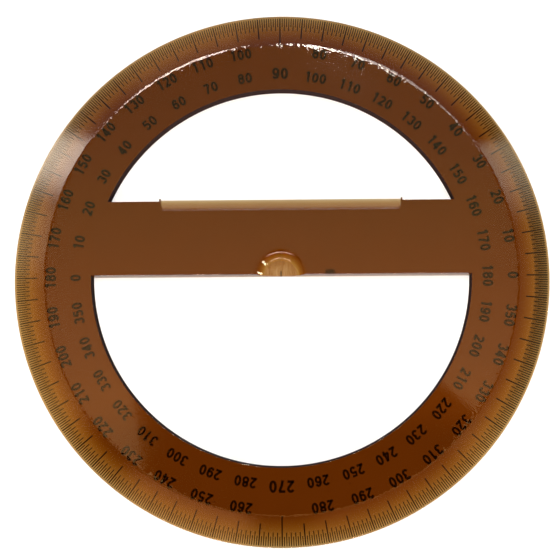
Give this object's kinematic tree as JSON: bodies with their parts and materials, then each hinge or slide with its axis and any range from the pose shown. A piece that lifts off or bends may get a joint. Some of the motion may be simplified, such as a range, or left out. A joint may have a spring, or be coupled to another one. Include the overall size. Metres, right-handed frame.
{
  "type": "full circle protractor",
  "caption": "Full circle protractor in tinted clear acrylic: a flat ring with a bevelled, engraved degree scale and a cross bar on the zero line.",
  "frame": {"origin": "centre of the graduated circle on the flat underside, where the 0 to 180 line crosses the 90 to 270 line", "axes": "+X to 0 degrees of the outer row of numbers, +Y to 90 degrees across the bar, +Z out of the bevelled upper face"},
  "size_m": [0.15, 0.15, 0.003],
  "materials": {
    "amber_acrylic": "polished, transparent amber tint",
    "black_ink": "matt ink wiped into the engraving"
  },
  "bodies": {
    "root": {"plate": "amber_acrylic", "half_degree_marks": "black_ink", "degree_marks": "black_ink", "five_degree_marks": "black_ink", "quarter_marks": "black_ink", "centre_mark": "black_ink"}
  },
  "joints": []
}
